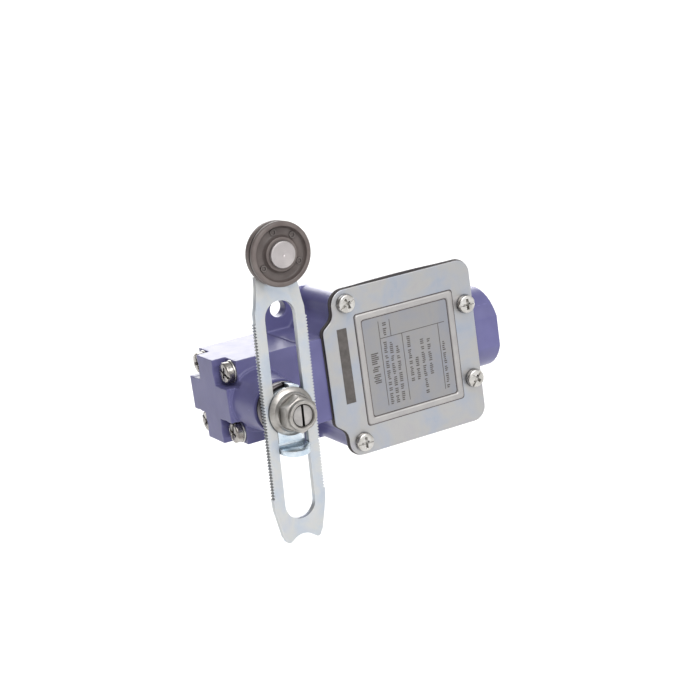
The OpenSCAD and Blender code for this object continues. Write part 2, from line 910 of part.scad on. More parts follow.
body_casing();
cover_gasket();
cover_plate();
cover_screws();
head_casing();
head_gasket();
head_screws();
head_screw_washers();
shaft_bush();
shaft_seal();
rear_bush();
spring_cup();
return_spring();
push_rod();
drive_shaft();
cam();
cam_pin();
shaft_clip();
lever_hub();
clamp_plate();
flange_nut();
lever();
roller_pin();
roller();
block_base();
block_cover();
block_screws();
contact_plunger();
moving_bridge();
bridge_tips();
overtravel_spring();
bridge_spring();
fixed_contact(nc_terminal, nc_tab, 1);  // fixed_contact_nc_top
fixed_contact(nc_terminal, nc_tab, -1);  // fixed_contact_nc_bottom
fixed_contact(no_terminal, no_tab, 1);  // fixed_contact_no_top
fixed_contact(no_terminal, no_tab, -1);  // fixed_contact_no_bottom
fixed_tips();
terminal_clamps();
terminal_screws();
earth_clamp();
earth_screw();
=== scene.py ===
import json
import math
import random

import bmesh
import bpy
from mathutils import Matrix, Vector


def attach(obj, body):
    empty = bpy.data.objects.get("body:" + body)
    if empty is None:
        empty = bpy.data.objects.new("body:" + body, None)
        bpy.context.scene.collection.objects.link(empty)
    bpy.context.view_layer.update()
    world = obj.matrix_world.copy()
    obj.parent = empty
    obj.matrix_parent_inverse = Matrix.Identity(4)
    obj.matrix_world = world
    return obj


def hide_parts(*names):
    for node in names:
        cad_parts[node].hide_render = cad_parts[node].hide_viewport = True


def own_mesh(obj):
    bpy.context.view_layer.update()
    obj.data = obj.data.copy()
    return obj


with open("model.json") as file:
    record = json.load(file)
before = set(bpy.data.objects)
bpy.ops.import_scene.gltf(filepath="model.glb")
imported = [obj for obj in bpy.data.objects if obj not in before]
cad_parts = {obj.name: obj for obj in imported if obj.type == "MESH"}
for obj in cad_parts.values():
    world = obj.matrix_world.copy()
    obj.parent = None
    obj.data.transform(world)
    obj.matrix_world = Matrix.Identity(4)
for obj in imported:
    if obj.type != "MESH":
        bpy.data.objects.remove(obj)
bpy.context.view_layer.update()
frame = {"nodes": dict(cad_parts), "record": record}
nodes = frame["nodes"]
random.seed(11)
MM = 0.001
TAU = 2 * math.pi

# ---------------------------------------------------------------- sizes, in millimetres

# Depth of the axis that the head, the push rod and the cable entry share
AXIS_Y = -13.0

# Body casting: flange, box behind it, lugs, cavity, screw pillars and cable entry
FLANGE_Y = -25.2
FLANGE_T = 2.0
FLANGE_INSET = 0.6
BOX_HALF = 19.0
NECK_FRONT = -25.85
LUG_T = 4.2
HOLE_Z = 19.5
HOLE_R = 2.65
CAVITY = (9.0, 49.8)
CAVITY_HALF = 16.5
FLOOR_T = 2.5
PILLAR = (10.6, 21.2)
PILLAR_R = 3.3
THROAT_R = 6.6
ROD_HOLE_R = 3.6
ENTRY_R = 13.0
ENTRY_FLAT = 12.1
ENTRY_BORE_R = 9.2
ENTRY_X = 52.0
ENTRY_END = 65.3

# Cover: outline, pressed frame and screws, each screw with the angle of its slot
COVER_Y = -27.0
COVER_T = 1.0
HALF_W = 26.0
END_X = 55.75
END_R = 4.5
LOBE_X = 6.5
LOBE_R = 4.6
FILLET_R = 4.0
FILLET_Z = HALF_W - 6.2
FILLET_ANGLE = 52
NECK_X = 2.5
NECK_R = 2.2
NECK_Z = HALF_W - 12.35
FRAME_X = 31.0
COVER_SCREW_R = 2.8
COVER_SCREW_H = 1.9
SHANK_R = 1.5
COVER_SCREWS = [((11.1, 21.8), -24), ((52.7, 12.0), -1), ((11.1, -21.8), 0), ((52.7, -12.0), -50)]

# Head: square block with four screw pockets in its end, and the boss of the shaft
JOINT_X = -5.0
HEAD_GASKET_T = 0.4
HEAD_HALF = 12.85
HEAD_X0 = -30.7
POCKET_X = -26.4
POCKET_Y = 5.4
POCKET_Z = 5.2
POCKET_R = 4.2
HEAD_SCREW_AT = 9.2
HEAD_SCREW_R = 3.15
SHAFT_X = -20.6
RIM_Y = -38.15
RIM_R = 8.0
BOSS_R = 9.05
BOSS_FOOT_R = 9.8
SEAL_SEAT_R = 6.9

# Lever, turned by LEAN about the shaft, with its slot, nut and roller
LEVER_BACK = -43.75
LEVER_FRONT = -45.75
LEVER_HALF = 8.4
LEVER_LOW = -32.25
SLOT_R = 4.87
TOOTH_PITCH = 0.9
TOOTH_DEPTH = 0.55
LEAN = math.radians(2.4)
REACH = 46.1
PIN_AT = (SHAFT_X + REACH * math.sin(LEAN), REACH * math.cos(LEAN))
PIN_R = 2.44
ROLLER_R = 9.3
ROLLER_BACK = -46.0
ROLLER_FRONT = -51.0
NUT_FLATS = 9.6
NUT_BORE_R = 3.1


# ---------------------------------------------------------------- mesh building

def add_object(name, bm):
    """Links a new object made from a bmesh whose coordinates are in millimetres."""
    bmesh.ops.recalc_face_normals(bm, faces=bm.faces)
    bmesh.ops.scale(bm, vec=(MM, MM, MM), verts=bm.verts)
    mesh = bpy.data.meshes.new(name)
    bm.to_mesh(mesh)
    bm.free()
    obj = bpy.data.objects.new(name, mesh)
    bpy.context.scene.collection.objects.link(obj)
    return obj


def arc(cx, cz, r, a, b, n=10):
    """Points of an arc, angles in degrees."""
    out = []
    for i in range(n + 1):
        t = math.radians(a + (b - a) * i / n)
        out.append((cx + r * math.cos(t), cz + r * math.sin(t)))
    return out


def mirrored(points):
    """The points reflected in z = 0, in reverse order."""
    return [(x, -z) for x, z in reversed(points)]


def add_prism(bm, outline, front, back):
    """Adds the (x, z) outline as a solid between two depths."""
    ring = [bm.verts.new((x, back, z)) for x, z in outline]
    face = bm.faces.new(ring)
    grown = bmesh.ops.extrude_face_region(bm, geom=[face])
    moved = [v for v in grown["geom"] if isinstance(v, bmesh.types.BMVert)]
    bmesh.ops.translate(bm, vec=(0, front - back, 0), verts=moved)


def prism(name, outline, front, back):
    """The outline as a solid between two depths, as an object."""
    bm = bmesh.new()
    add_prism(bm, outline, front, back)
    return add_object(name, bm)


def add_box(bm, low, high):
    """Adds a box between two opposite corners."""
    outline = [(low[0], low[2]), (high[0], low[2]), (high[0], high[2]), (low[0], high[2])]
    add_prism(bm, outline, low[1], high[1])


def box(name, low, high):
    """A box between two opposite corners, as an object."""
    bm = bmesh.new()
    add_box(bm, low, high)
    return add_object(name, bm)


def add_lathe(bm, profile, base, axis, segments):
    """Turns (radius, position) points about an axis through base.

    Radius 0 closes on the axis, and a profile that keeps clear of the axis is joined end to start.
    """
    rings = []
    for r, t in profile:
        ring = []
        steps = 1 if r < 1e-6 else segments
        for i in range(steps):
            a = TAU * i / segments
            u, w = r * math.cos(a), r * math.sin(a)
            place = (u, t, w) if axis == "Y" else (t, u, w)
            ring.append(bm.verts.new(Vector(base) + Vector(place)))
        rings.append(ring)
    pairs = list(zip(rings, rings[1:]))
    if len(rings[0]) > 1 and len(rings[-1]) > 1:
        pairs.append((rings[-1], rings[0]))
    for a, b in pairs:
        if len(a) == 1 and len(b) == 1:
            continue
        for i in range(segments):
            k = (i + 1) % segments
            corners = [a[0]] if len(a) == 1 else [a[i], a[k]]
            corners += [b[0]] if len(b) == 1 else [b[k], b[i]]
            bm.faces.new(corners)


def lathe(name, profile, base, axis="Y", segments=64):
    """A turned shape about an axis through base, as an object."""
    bm = bmesh.new()
    add_lathe(bm, profile, base, axis, segments)
    return add_object(name, bm)


def bake(obj):
    """Applies an object's modifiers."""
    graph = bpy.context.evaluated_depsgraph_get()
    mesh = bpy.data.meshes.new_from_object(obj.evaluated_get(graph))
    obj.modifiers.clear()
    obj.data = mesh
    return obj


def combine(obj, tool, operation="DIFFERENCE"):
    """Cuts or joins with another object, which is used up."""
    m = obj.modifiers.new("cut", "BOOLEAN")
    m.operation = operation
    m.solver = "EXACT"
    m.object = tool
    bake(obj)
    bpy.data.objects.remove(tool)
    return obj


def weld(objects, name):
    """Joins the meshes of several objects into one object."""
    bm = bmesh.new()
    for o in objects:
        o.data.transform(o.matrix_world)
        bm.from_mesh(o.data)
    mesh = bpy.data.meshes.new(name)
    bm.to_mesh(mesh)
    bm.free()
    for o in objects:
        bpy.data.objects.remove(o)
    new = bpy.data.objects.new(name, mesh)
    bpy.context.scene.collection.objects.link(new)
    return new


def smooth(obj, angle=32):
    """Smooth shading, with edges sharper than the angle kept sharp."""
    for p in obj.data.polygons:
        p.use_smooth = True
    bm = bmesh.new()
    bm.from_mesh(obj.data)
    limit = math.radians(angle)
    for e in bm.edges:
        e.smooth = len(e.link_faces) == 2 and e.calc_face_angle(0) < limit
    bm.to_mesh(obj.data)
    bm.free()
    return obj


def bevel(obj, width, segments=2, angle=30):
    """Breaks the edges that are sharper than the angle."""
    m = obj.modifiers.new("edge", "BEVEL")
    m.width = width * MM
    m.segments = segments
    m.limit_method = "ANGLE"
    m.angle_limit = math.radians(angle)
    bake(obj)
    return obj


def cast(obj, voxel, rounds):
    """Rounds every edge and fillet as in a die casting: voxel remesh, smoothing, then fewer faces."""
    m = obj.modifiers.new("remesh", "REMESH")
    m.mode = "VOXEL"
    m.voxel_size = voxel * MM
    m.use_smooth_shade = True
    s = obj.modifiers.new("soften", "SMOOTH")
    s.factor = 0.5
    s.iterations = rounds
    d = obj.modifiers.new("fewer", "DECIMATE")
    d.ratio = 0.3
    bake(obj)
    for p in obj.data.polygons:
        p.use_smooth = True
    return obj


def from_cad(name, width):
    """A copy of a CAD node with its flat faces merged and its edges broken by a small bevel."""
    mesh = nodes[name].data.copy()
    bm = bmesh.new()
    bm.from_mesh(mesh)
    bmesh.ops.remove_doubles(bm, verts=bm.verts, dist=1e-6)
    bmesh.ops.dissolve_limit(bm, angle_limit=math.radians(0.6), verts=bm.verts, edges=bm.edges)
    bm.to_mesh(mesh)
    bm.free()
    obj = bpy.data.objects.new(name + "_detail", mesh)
    bpy.context.scene.collection.objects.link(obj)
    bevel(obj, width)
    return smooth(obj)


def lean(obj):
    """Turns an object made upright at x = 0 to the lean of the lever, on the shaft axis."""
    place = Matrix.Translation((SHAFT_X * MM, 0, 0)) @ Matrix.Rotation(LEAN, 4, "Y")
    obj.data.transform(place)
    return obj


def finish_piece(obj, body, replaced, surface):
    """Gives a piece its body, the CAD nodes it stands for and its material."""
    obj.data.materials.clear()
    obj.data.materials.append(surface)
    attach(obj, body)
    if replaced:
        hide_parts(*replaced)
    return obj


# ---------------------------------------------------------------- materials

def tree(name):
    """A new material with its nodes, its shader and its coordinates."""
    mat = bpy.data.materials.new(name)
    mat.use_nodes = True
    nt = mat.node_tree
    nt.nodes.clear()
    out = nt.nodes.new("ShaderNodeOutputMaterial")
    shader = nt.nodes.new("ShaderNodeBsdfPrincipled")
    nt.links.new(shader.outputs[0], out.inputs["Surface"])
    coords = nt.nodes.new("ShaderNodeTexCoord")
    return mat, nt, shader, coords


def noise(nt, coords, scale, detail=3.0, rough=0.55, stretch=(1, 1, 1), distortion=0.0):
    """Noise between 0 and 1 at a scale per metre."""
    mapping = nt.nodes.new("ShaderNodeMapping")
    mapping.inputs["Scale"].default_value = stretch
    nt.links.new(coords.outputs["Object"], mapping.inputs["Vector"])
    n = nt.nodes.new("ShaderNodeTexNoise")
    n.inputs["Scale"].default_value = scale
    n.inputs["Detail"].default_value = detail
    n.inputs["Roughness"].default_value = rough
    n.inputs["Distortion"].default_value = distortion
    nt.links.new(mapping.outputs[0], n.inputs["Vector"])
    return n.outputs["Fac"]


def ramp(nt, fac, stops):
    """Colour from a value, through (place, colour) stops."""
    r = nt.nodes.new("ShaderNodeValToRGB")
    while len(r.color_ramp.elements) < len(stops):
        r.color_ramp.elements.new(0.5)
    for e, (place, colour) in zip(r.color_ramp.elements, stops):
        e.position = place
        e.color = (*colour, 1)
    nt.links.new(fac, r.inputs["Fac"])
    return r.outputs["Color"]


def span(nt, fac, low, high):
    """A value between 0 and 1, spread over low to high."""
    m = nt.nodes.new("ShaderNodeMapRange")
    m.inputs["To Min"].default_value = low
    m.inputs["To Max"].default_value = high
    nt.links.new(fac, m.inputs["Value"])
    return m.outputs["Result"]


def bumps(nt, fac, strength, distance, normal=None):
    """A normal bumped by a value, on top of another normal if one is given."""
    b = nt.nodes.new("ShaderNodeBump")
    b.inputs["Strength"].default_value = strength
    b.inputs["Distance"].default_value = distance
    nt.links.new(fac, b.inputs["Height"])
    if normal is not None:
        nt.links.new(normal, b.inputs["Normal"])
    return b.outputs["Normal"]


def edge_highlight(nt, radius, low, high):
    """A mask that is 1 along exposed edges, from a bevelled normal compared with the true one, for a painted
    highlight on edges.
    """
    b = nt.nodes.new("ShaderNodeBevel")
    b.samples = 4
    b.inputs["Radius"].default_value = radius
    g = nt.nodes.new("ShaderNodeNewGeometry")
    d = nt.nodes.new("ShaderNodeVectorMath")
    d.operation = "DOT_PRODUCT"
    nt.links.new(b.outputs[0], d.inputs[0])
    nt.links.new(g.outputs["Normal"], d.inputs[1])
    m = nt.nodes.new("ShaderNodeMapRange")
    m.inputs["From Min"].default_value = high
    m.inputs["From Max"].default_value = low
    nt.links.new(d.outputs["Value"], m.inputs["Value"])
    return m.outputs["Result"]


def painted_corner_shade(nt, reach):
    """A mask from ambient occlusion that falls to 0 deep in corners and beside raised edges, for painted
    shade.
    """
    a = nt.nodes.new("ShaderNodeAmbientOcclusion")
    a.samples = 6
    a.inputs["Distance"].default_value = reach
    m = nt.nodes.new("ShaderNodeMapRange")
    m.inputs["From Min"].default_value = 0.35
    m.inputs["From Max"].default_value = 0.92
    nt.links.new(a.outputs["AO"], m.inputs["Value"])
    return m.outputs["Result"]


def turned_rings(nt, coords, centre, pitch):
    """Fine circles about an axis along Y, as left by a lathe tool."""
    offset = nt.nodes.new("ShaderNodeVectorMath")
    offset.operation = "MULTIPLY_ADD"
    offset.inputs[1].default_value = (1, 0, 1)
    offset.inputs[2].default_value = (-centre[0], 0, -centre[1])
    nt.links.new(coords.outputs["Object"], offset.inputs[0])
    length = nt.nodes.new("ShaderNodeVectorMath")
    length.operation = "LENGTH"
    nt.links.new(offset.outputs[0], length.inputs[0])
    scaled = nt.nodes.new("ShaderNodeMath")
    scaled.operation = "MULTIPLY"
    scaled.inputs[1].default_value = TAU / pitch
    nt.links.new(length.outputs["Value"], scaled.inputs[0])
    wave = nt.nodes.new("ShaderNodeMath")
    wave.operation = "SINE"
    nt.links.new(scaled.outputs[0], wave.inputs[0])
    half = nt.nodes.new("ShaderNodeMapRange")
    half.inputs["From Min"].default_value = -1
    nt.links.new(wave.outputs[0], half.inputs["Value"])
    return half.outputs["Result"]


def mixed(nt, fac, a, b, blend="MIX"):
    """Two colours mixed by a factor. Each may be a fixed colour or an output."""
    m = nt.nodes.new("ShaderNodeMix")
    m.data_type = "RGBA"
    m.blend_type = blend
    if isinstance(fac, float):
        m.inputs["Factor"].default_value = fac
    else:
        nt.links.new(fac, m.inputs["Factor"])
    for socket, value in (("A", a), ("B", b)):
        place = [s for s in m.inputs if s.name == socket and s.type == "RGBA"][0]
        if isinstance(value, tuple):
            place.default_value = (*value, 1)
        else:
            nt.links.new(value, place)
    return [s for s in m.outputs if s.type == "RGBA"][0]


def paint(name, dark, mid, light):
    """Satin enamel on a die casting: faint mottling, orange peel and slightly paler edges as a painted
    highlight.
    """
    mat, nt, shader, coords = tree(name)
    broad = noise(nt, coords, 70, 3)
    base = ramp(nt, broad, [(0.3, dark), (0.52, mid), (0.75, light)])
    # Painted highlight: convex edges, found by pointiness, are mixed towards a paler blue.
    shape = nt.nodes.new("ShaderNodeNewGeometry")
    lit_edges = nt.nodes.new("ShaderNodeMapRange")
    lit_edges.inputs["From Min"].default_value = 0.56
    lit_edges.inputs["From Max"].default_value = 0.66
    lit_edges.inputs["To Max"].default_value = 0.3
    nt.links.new(shape.outputs["Pointiness"], lit_edges.inputs["Value"])
    base = mixed(nt, lit_edges.outputs["Result"], base, tuple(min(1.0, c * 1.6 + 0.04) for c in mid))
    nt.links.new(base, shader.inputs["Base Color"])
    nt.links.new(span(nt, noise(nt, coords, 240, 4), 0.30, 0.46), shader.inputs["Roughness"])
    shader.inputs["Coat Weight"].default_value = 0.12
    shader.inputs["Coat Roughness"].default_value = 0.22
    shader.inputs["Specular IOR Level"].default_value = 0.3
    peel = bumps(nt, noise(nt, coords, 900, 2), 0.16, 0.0001)
    waves = bumps(nt, noise(nt, coords, 160, 2), 0.12, 0.0004, peel)
    nt.links.new(waves, shader.inputs["Normal"])
    return mat


def metal(name, tones, rough, pits=0.0, along=(1, 1, 1), patch=90, scratches=0.12, edge=None,
          metallic=1.0, shade_reach=0.0, rings=None):
    """Plated or turned metal.

    Patches of tone, scratches stretched along a direction, and pits. If asked: a paler edge as a painted
    highlight, painted shade in corners up to a reach in metres, and turned rings given as (centre, pitch).
    """
    mat, nt, shader, coords = tree(name)
    stops = [(0.28 + 0.44 * i / (len(tones) - 1), c) for i, c in enumerate(tones)]
    base = ramp(nt, noise(nt, coords, patch, 4, 0.6, distortion=0.4), stops)
    # Painted highlight: edges mixed towards the paler edge colour.
    if edge:
        lit_edges = edge_highlight(nt, 0.0003, 0.75, 0.98)
        base = mixed(nt, span(nt, lit_edges, 0.0, 0.8), base, edge)
    # Painted shade: corners found by ambient occlusion are mixed towards a dark tone.
    if shade_reach:
        base = mixed(nt, painted_corner_shade(nt, shade_reach), tuple(0.22 * c for c in tones[0]), base)
    scratch = noise(nt, coords, 1400, 3, 0.6, along)
    if rings:
        centre, pitch = rings
        marks = turned_rings(nt, coords, centre, pitch)
        base = mixed(nt, span(nt, marks, 0.0, 0.22), base, tuple(0.4 * c for c in tones[0]))
    nt.links.new(base, shader.inputs["Base Color"])
    shader.inputs["Metallic"].default_value = metallic
    nt.links.new(span(nt, scratch, rough[0], rough[1]), shader.inputs["Roughness"])
    scratched = bumps(nt, scratch, scratches, 0.00006)
    pitted = bumps(nt, noise(nt, coords, 300, 2), pits, 0.0002, scratched)
    nt.links.new(pitted, shader.inputs["Normal"])
    return mat


def plastic(name, tones, rough, patch=120, bump=0.15, edge=None, shade_reach=0.0):
    """Moulded plastic, rubber or ink: patches of tone and a fine grain; if asked, paler edges as a painted
    highlight and painted shade in corners.
    """
    mat, nt, shader, coords = tree(name)
    stops = [(0.3 + 0.4 * i / (len(tones) - 1), c) for i, c in enumerate(tones)]
    base = ramp(nt, noise(nt, coords, patch, 4), stops)
    # Painted highlight on edges.
    if edge:
        base = mixed(nt, span(nt, edge_highlight(nt, 0.0004, 0.78, 0.985), 0.0, 0.7), base, edge)
    # Painted shade in corners, from ambient occlusion.
    if shade_reach:
        base = mixed(nt, painted_corner_shade(nt, shade_reach), tuple(0.25 * c for c in tones[0]), base)
    nt.links.new(base, shader.inputs["Base Color"])
    nt.links.new(span(nt, noise(nt, coords, 500, 4), rough[0], rough[1]), shader.inputs["Roughness"])
    nt.links.new(bumps(nt, noise(nt, coords, 1100, 3), bump, 0.00008), shader.inputs["Normal"])
    return mat


# In the looks below, an edge colour is a painted highlight on edges, and the reach for corners sets painted
# shade in corners.
ENAMEL = paint("enamel_blue_violet", (0.080, 0.076, 0.182), (0.101, 0.097, 0.220), (0.119, 0.116, 0.246))

# Zinc-plated sheet: the cover, the panel inside its frame drawn darker as painted shade, the frame's ridge,
# and a dark material for the cut edge and painted shadow lines
SHEET = {"rough": (0.36, 0.48), "pits": 0.05, "along": (1, 1, 0.06), "patch": 75, "scratches": 0.05,
         "edge": (0.60, 0.60, 0.60), "metallic": 0.85, "shade_reach": 0.0005}
COVER = metal("cover_zinc", [(0.29, 0.34, 0.415), (0.345, 0.365, 0.41), (0.385, 0.38, 0.375),
                             (0.35, 0.345, 0.38)], **SHEET)
# Painted shade: the same sheet, darker inside the frame.
SHADED_PANEL = metal("cover_zinc_panel_shaded", [(0.24, 0.255, 0.295), (0.26, 0.265, 0.29), (0.28, 0.275, 0.275),
                                   (0.25, 0.255, 0.28)], **SHEET)
RIDGE = metal("cover_zinc_ridge", [(0.34, 0.33, 0.33), (0.42, 0.405, 0.395)], (0.42, 0.55),
              pits=0.05, patch=150, scratches=0.05, metallic=0.9, shade_reach=0.0006)
# Dark for the sheet's cut edges, partly their own colour and partly painted shade, and painted shadow for
# the strips at the foot of the ridge.
CUT_EDGE_AND_SHADOW = metal("cover_cut_edge_and_shadow", [(0.07, 0.06, 0.06), (0.12, 0.10, 0.10)], (0.40, 0.60),
                 pits=0.3, patch=400, scratches=0.2)

# Lever, clamp, nut and shaft
LEVER = metal("lever_zinc", [(0.37, 0.42, 0.49), (0.43, 0.465, 0.515), (0.485, 0.49, 0.485),
                             (0.43, 0.455, 0.505)], (0.34, 0.50), pits=0.25, along=(0.3, 1, 0.3),
              patch=110, scratches=0.25, edge=(0.78, 0.78, 0.77), metallic=0.8, shade_reach=0.0005)
BLUE_ZINC = metal("clamp_zinc", [(0.38, 0.48, 0.58), (0.60, 0.67, 0.73), (0.76, 0.78, 0.79)],
                  (0.22, 0.36), pits=0.1, patch=190, scratches=0.08, edge=(0.82, 0.84, 0.84),
                  metallic=0.95, shade_reach=0.0004)
NICKEL = metal("nickel", [(0.23, 0.215, 0.20), (0.35, 0.335, 0.315), (0.46, 0.44, 0.42)],
               (0.34, 0.46), pits=0.12, patch=260, scratches=0.10, edge=(0.74, 0.72, 0.70), shade_reach=0.0012)
TURNED = metal("turned_steel", [(0.28, 0.265, 0.26), (0.38, 0.365, 0.355), (0.47, 0.45, 0.44)],
               (0.28, 0.42), pits=0.1, patch=220, edge=(0.66, 0.64, 0.62), shade_reach=0.001)
PIN = metal("pin_steel", [(0.36, 0.335, 0.335), (0.44, 0.41, 0.41), (0.50, 0.465, 0.46)],
            (0.30, 0.44), pits=0.1, patch=220, edge=(0.76, 0.73, 0.72), metallic=0.9, shade_reach=0.0004,
            rings=((PIN_AT[0] * MM, PIN_AT[1] * MM), 0.0005))
# Painted shade: the hub is drawn near black, with a long reach of corner shade, for the shade between the
# boss and the lever.
SHADED_HUB = metal("hub_steel_painted_shade", [(0.04, 0.037, 0.04), (0.09, 0.08, 0.085), (0.17, 0.155, 0.15)],
            (0.24, 0.38), pits=0.12, patch=260, scratches=0.10, edge=(0.60, 0.58, 0.56), shade_reach=0.005)

# Screws and the pieces inside
SCREW = metal("screw_plating", [(0.36, 0.345, 0.315), (0.50, 0.485, 0.46), (0.62, 0.61, 0.595)],
              (0.22, 0.38), pits=0.15, patch=320, scratches=0.10, edge=(0.85, 0.85, 0.84), shade_reach=0.0004)
# Darker screw tones for the head screws, and painted shade on the flanks of the cover screw heads.
DARK_SCREW = metal("dark_screw_plating_and_flank_shade", [(0.16, 0.14, 0.13), (0.32, 0.30, 0.28), (0.56, 0.54, 0.51)],
                   (0.20, 0.34), pits=0.15, patch=360, scratches=0.10, edge=(0.85, 0.85, 0.83),
                   shade_reach=0.0004)
SPRING = metal("spring_wire", [(0.30, 0.30, 0.31), (0.45, 0.45, 0.46)], (0.25, 0.4))
BRONZE = metal("sintered_bronze", [(0.30, 0.18, 0.07), (0.46, 0.30, 0.12)], (0.35, 0.5), pits=0.3)
BRASS = metal("stamped_brass", [(0.50, 0.34, 0.12), (0.66, 0.47, 0.18)], (0.25, 0.4))
SILVER = metal("silver_rivet", [(0.70, 0.70, 0.67), (0.82, 0.82, 0.80)], (0.2, 0.35))
GREEN = metal("earth_green", [(0.06, 0.22, 0.08), (0.10, 0.32, 0.11)], (0.3, 0.45), metallic=0.5)
BLOCK = plastic("block_black", [(0.02, 0.02, 0.022), (0.045, 0.045, 0.05)], (0.45, 0.6))
CREAM = plastic("block_cream", [(0.46, 0.42, 0.30), (0.56, 0.52, 0.40)], (0.4, 0.55))
ACETAL = plastic("acetal", [(0.72, 0.68, 0.58), (0.82, 0.78, 0.68)], (0.3, 0.45))

# Seals, roller and print
RUBBER = plastic("seal_rubber", [(0.030, 0.026, 0.028), (0.050, 0.044, 0.046)], (0.6, 0.8))
ROLLER = plastic("roller_plastic", [(0.070, 0.052, 0.048), (0.100, 0.080, 0.074), (0.135, 0.112, 0.104)],
                 (0.40, 0.58), patch=150, bump=0.25, edge=(0.24, 0.21, 0.20), shade_reach=0.0035)
INK = plastic("print_ink", [(0.050, 0.044, 0.040), (0.080, 0.070, 0.066)], (0.5, 0.65), patch=600, bump=0.1)

# The look of each material slot of the CAD nodes
SLOT_LOOKS = {
    "casting_paint": ENAMEL, "seal_rubber": RUBBER, "cover_steel": COVER, "screw_steel": SCREW,
    "earth_screw_steel": GREEN, "bronze": BRONZE, "pressed_steel": SPRING, "spring_steel": SPRING,
    "rod_plastic": ACETAL, "shaft_steel": TURNED, "clamp_steel": NICKEL, "nut_steel": NICKEL,
    "lever_steel": LEVER, "roller_plastic": ROLLER, "block_plastic": BLOCK, "block_cover_plastic": CREAM,
    "contact_brass": BRASS, "contact_silver": SILVER,
}
for part in frame["record"]["subparts"]:
    data = nodes[part["node"]].data
    data.materials.clear()
    data.materials.append(SLOT_LOOKS[part["material_slot"]])


# ---------------------------------------------------------------- body casting

def cover_outline(g=0.0):
    """Outline of the cover and its flange, drawn smaller by g."""
    top = (
        arc(END_X - END_R, HALF_W - END_R, END_R - g, 0, 90)
        + arc(LOBE_X + LOBE_R, HALF_W - LOBE_R, LOBE_R - g, 90, 180)
        + arc(LOBE_X - FILLET_R, FILLET_Z, FILLET_R + g, 0, -FILLET_ANGLE)
        + arc(NECK_X + NECK_R, NECK_Z, NECK_R - g, 180 - FILLET_ANGLE, 180)
    )
    return top + mirrored(top)


def shoulder_outline():
    """One shoulder of the casting, between the neck and a screw pillar."""
    inner_z = 12.0
    pillar_x, pillar_z = PILLAR
    curve = arc(LOBE_X - FILLET_R, FILLET_Z, FILLET_R + FLANGE_INSET + 0.1, 0, -FILLET_ANGLE)
    return (
        [(9.0, inner_z), (12.0, 17.0), (pillar_x, pillar_z), (pillar_x - PILLAR_R, pillar_z)]
        + curve
        + [(NECK_X, inner_z + 0.45), (NECK_X, inner_z)]
    )


def lug_outline():
    """One mounting lug, with two round corners."""
    r, left, right, top = 1.5, -5.0, 12.8, 24.6
    corners = arc(right - r, top - r, r, 0, 90) + arc(left + r, top - r, r, 90, 180)
    return [(left, 12.0), (right, 12.0)] + corners


def entry_boss():
    """Round boss of the cable entry with a flat at the front and at the back."""
    entry = lathe("entry", [(0, ENTRY_X), (ENTRY_R, ENTRY_X), (ENTRY_R, ENTRY_END), (0, ENTRY_END)],
                  (0, AXIS_Y, 0), "X", 96)
    low = (ENTRY_X - 2, AXIS_Y - ENTRY_FLAT, -ENTRY_R - 1)
    high = (ENTRY_END + 0.7, AXIS_Y + ENTRY_FLAT, ENTRY_R + 1)
    return combine(entry, box("flats", low, high), "INTERSECT")


def casting():
    """Body casting: flange, box, neck, lugs, screw pillars and cable entry, less the cavity and holes."""
    body = prism("casting", cover_outline(FLANGE_INSET), FLANGE_Y, FLANGE_Y + FLANGE_T)
    adds = [
        box("core", (7.0, FLANGE_Y, -BOX_HALF), (END_X - FLANGE_INSET - 0.1, 0.0, BOX_HALF)),
        box("neck", (JOINT_X, NECK_FRONT, -HEAD_HALF), (2.3, 0.0, HEAD_HALF)),
        box("throat", (0.0, FLANGE_Y, -HEAD_HALF), (CAVITY[0], 0.0, HEAD_HALF)),
    ]
    pillar = [(0, FLANGE_Y), (PILLAR_R, FLANGE_Y), (PILLAR_R, 0), (0, 0)]
    for side in (1, -1):
        for outline, front in ((shoulder_outline(), FLANGE_Y), (lug_outline(), -LUG_T)):
            if side < 0:
                outline = mirrored(outline)
            adds.append(prism("wall", outline, front, 0.0))
        adds.append(lathe("pillar", pillar, (PILLAR[0], 0, side * PILLAR[1])))
    adds.append(entry_boss())
    for a in adds:
        combine(body, a, "UNION")
    throat = [(0, -6), (THROAT_R, -6), (THROAT_R, 3), (ROD_HOLE_R, 3), (ROD_HOLE_R, 10), (0, 10)]
    gland = [(0, 48), (ENTRY_BORE_R, 48), (ENTRY_BORE_R, 66), (0, 66)]
    cuts = [
        box("cavity", (CAVITY[0], -30, -CAVITY_HALF), (CAVITY[1], -FLOOR_T, CAVITY_HALF)),
        lathe("throat_hole", throat, (0, AXIS_Y, 0), "X"),
        lathe("gland_hole", gland, (0, AXIS_Y, 0), "X", 96),
    ]
    for side in (1, -1):
        hole = [(0, -6), (HOLE_R, -6), (HOLE_R, 1), (0, 1)]
        cuts.append(lathe("mount_hole", hole, (0, 0, side * HOLE_Z)))
    for c in cuts:
        combine(body, c)
    cast(body, 0.28, 4)
    return finish_piece(body, "switch_body", ["body_casing"], ENAMEL)


# ---------------------------------------------------------------- head casting

def corner_pocket(sy, sz):
    """Cutting shapes of one screw pocket: a square corner and a round bulge into the middle."""
    outside = 15
    ys = sorted((AXIS_Y + sy * POCKET_Y, AXIS_Y + sy * outside))
    zs = sorted((sz * POCKET_Z, sz * outside))
    corner = box("pocket", (HEAD_X0 - 1, ys[0], zs[0]), (POCKET_X, ys[1], zs[1]))
    profile = [(0, HEAD_X0 - 1), (POCKET_R, HEAD_X0 - 1), (POCKET_R, POCKET_X), (0, POCKET_X)]
    bulge = lathe("bulge", profile, (0, AXIS_Y + sy * HEAD_SCREW_AT, sz * HEAD_SCREW_AT), "X", 48)
    return [corner, bulge]


